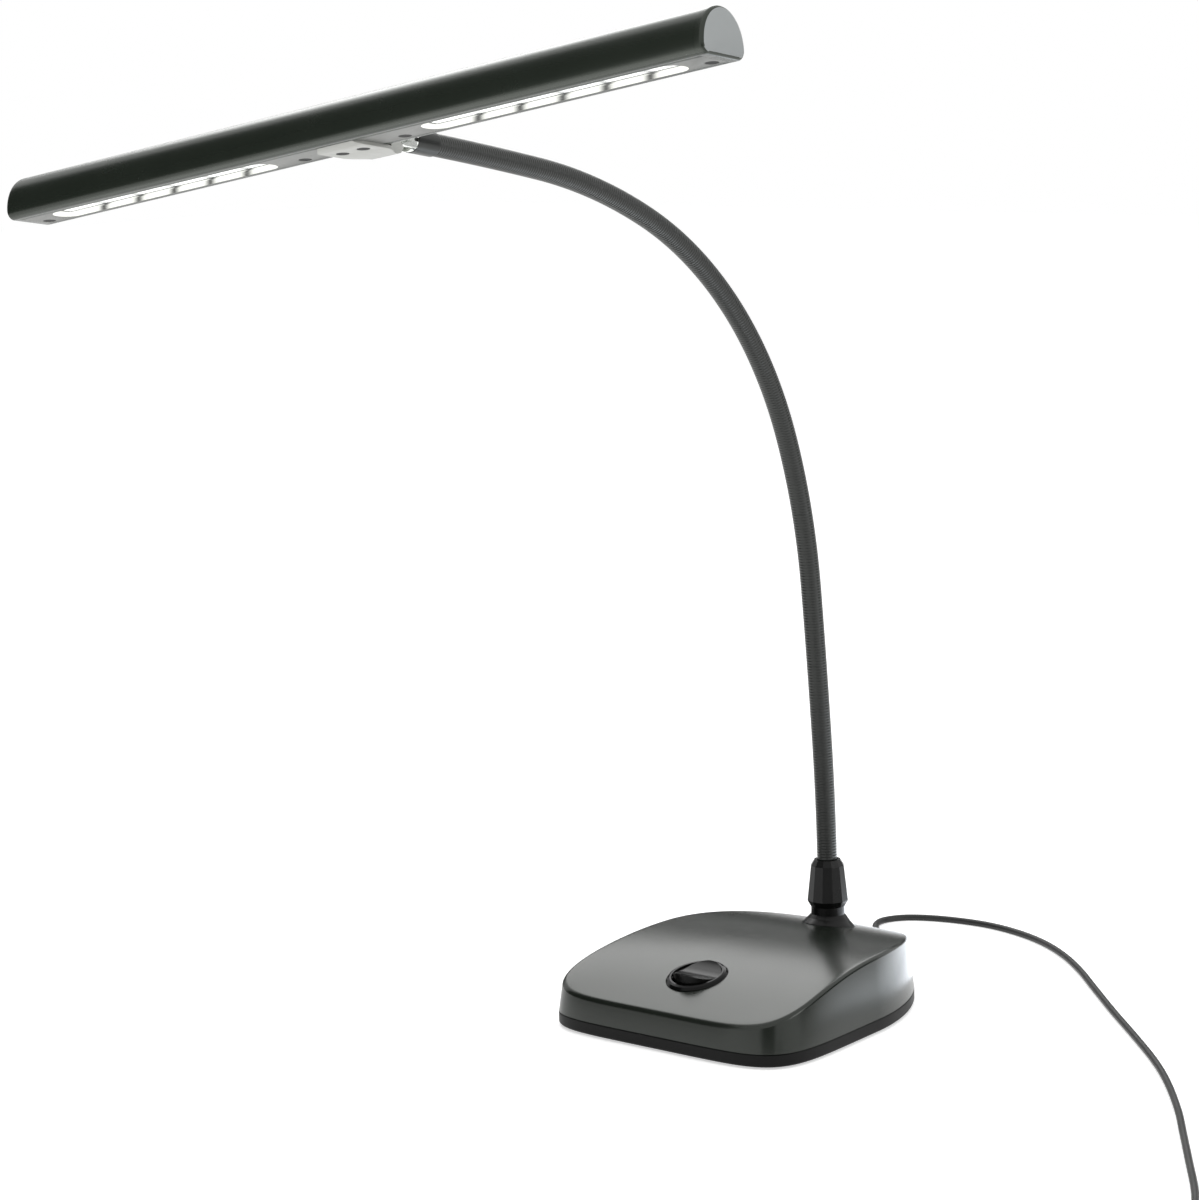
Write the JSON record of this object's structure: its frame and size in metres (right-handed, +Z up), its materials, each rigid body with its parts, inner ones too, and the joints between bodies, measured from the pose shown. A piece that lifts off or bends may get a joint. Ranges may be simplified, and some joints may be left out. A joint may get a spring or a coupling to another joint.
{
  "type": "piano lamp",
  "caption": "Weighted base with a rocker switch, a bendable ribbed neck and a slim light bar that swivels and tilts on a bracket.",
  "frame": {"origin": "on the table under the base, straight below the foot of the neck", "axes": "+Z up, +X to the right of someone sitting in front of the lamp, -Y towards them, the way the head reaches"},
  "size_m": [0.7012, 0.4944, 0.4868],
  "materials": {
    "shell_satin": "satin dark grey green moulding",
    "tray_black": "matt black moulding",
    "pad_rubber": "soft pad",
    "ballast_steel": "plain steel plate",
    "screw_steel": "plated screws",
    "plate_screw_dark": "dark plated screws",
    "board_green": "circuit board",
    "component_dark": "electronic parts",
    "switch_black": "gloss black",
    "terminal_brass": "brass tabs",
    "gland_black": "satin black",
    "grommet_black": "soft black",
    "neck_winding_dark": "dark ribbed winding",
    "tip_black": "satin black",
    "swivel_chrome": "bright plated",
    "bracket_grey": "light grey satin",
    "head_dark": "satin black anodised",
    "plate_grey": "grey satin",
    "cap_dark": "satin black moulding",
    "led_board_white": "white circuit board",
    "led_light": "lit lights",
    "reflector_white": "bright cups",
    "window_clear": "clear cover",
    "wire_red": "insulated wire",
    "cord_black": "black lead",
    "tie_black": "tie strip",
    "adapter_black": "black power supply",
    "pin_plated": "plated pins"
  },
  "bodies": {
    "base": {"base_shell": "shell_satin", "base_tray": "tray_black", "base_pad": "pad_rubber", "ballast_plate": "ballast_steel", "tray_screws": "screw_steel", "ballast_screws": "screw_steel", "board_posts": "tray_black", "driver_board": "board_green", "driver_parts": "component_dark", "switch_bezel": "switch_black", "rocker_pin": "screw_steel", "switch_terminals": "terminal_brass", "neck_flange": "gland_black", "gland_nut": "gland_black", "lock_nut": "screw_steel", "cord_grommet": "grommet_black", "neck_core_1": "screw_steel", "neck_winding_1": "neck_winding_dark", "cord": "cord_black", "cord_coil": "cord_black", "cord_tail": "cord_black", "coil_tie": "tie_black", "adapter_relief": "grommet_black", "adapter_body": "adapter_black", "adapter_pins": "pin_plated"},
    "rocker": {"rocker": "switch_black"},
    "neck_2": {"neck_core_2": "screw_steel", "neck_winding_2": "neck_winding_dark"},
    "neck_3": {"neck_core_3": "screw_steel", "neck_winding_3": "neck_winding_dark"},
    "neck_4": {"neck_core_4": "screw_steel", "neck_winding_4": "neck_winding_dark"},
    "neck_5": {"neck_core_5": "screw_steel", "neck_winding_5": "neck_winding_dark"},
    "neck_6": {"neck_core_6": "screw_steel", "neck_winding_6": "neck_winding_dark"},
    "neck_7": {"neck_core_7": "screw_steel", "neck_winding_7": "neck_winding_dark", "neck_tip": "tip_black"},
    "swivel": {"swivel_yoke": "swivel_chrome", "pivot_pin": "swivel_chrome", "pivot_nut": "swivel_chrome"},
    "head": {"neck_bracket": "bracket_grey", "bracket_screws": "plate_screw_dark", "mount_block": "bracket_grey", "head_housing": "head_dark", "head_plate": "plate_grey", "plate_screws": "plate_screw_dark", "end_cap_left": "cap_dark", "end_cap_right": "cap_dark", "led_board_left": "led_board_white", "led_board_right": "led_board_white", "led_chips_left": "led_light", "led_chips_right": "led_light", "reflector_left": "reflector_white", "reflector_right": "reflector_white", "window_left": "window_clear", "window_right": "window_clear", "head_wires": "wire_red"}
  },
  "joints": [
    {"name": "neck_bend_1", "type": "hinge", "parent": "base", "child": "neck_2", "pos_m": [0, -0.00305, 0.12763], "axis": [1, 0, 0], "range_deg": [-25, 22]},
    {"name": "neck_side_2", "type": "hinge", "parent": "neck_2", "child": "neck_3", "pos_m": [0, -0.01016, 0.20502], "axis": [0, 0.9945, 0.1045], "range_deg": [-25, 25]},
    {"name": "neck_bend_3", "type": "hinge", "parent": "neck_3", "child": "neck_4", "pos_m": [0, -0.02793, 0.28046], "axis": [1, 0, 0], "range_deg": [-25, 22]},
    {"name": "neck_bend_4", "type": "hinge", "parent": "neck_4", "child": "neck_5", "pos_m": [0, -0.06828, 0.34632], "axis": [1, 0, 0], "range_deg": [-25, 22]},
    {"name": "neck_side_5", "type": "hinge", "parent": "neck_5", "child": "neck_6", "pos_m": [0, -0.13019, 0.39255], "axis": [0, 0.4384, 0.8988], "range_deg": [-25, 25]},
    {"name": "neck_bend_6", "type": "hinge", "parent": "neck_6", "child": "neck_7", "pos_m": [0, -0.20348, 0.41779], "axis": [1, 0, 0], "range_deg": [-25, 22]},
    {"name": "head_swivel", "type": "hinge", "parent": "neck_7", "child": "swivel", "pos_m": [0, -0.27977, 0.43261], "axis": [0, -0.9848, 0.1736], "range_deg": [-70, 50]},
    {"name": "head_tilt", "type": "hinge", "parent": "swivel", "child": "head", "pos_m": [0, -0.29257, 0.43487], "axis": [0.9842, 0.0307, 0.1744], "range_deg": [-40, 45]},
    {"name": "rocker_press", "type": "hinge", "parent": "base", "child": "rocker", "pos_m": [0, -0.10303, 0.0263], "axis": [1, 0, 0], "range_deg": [0, 16]}
  ]
}
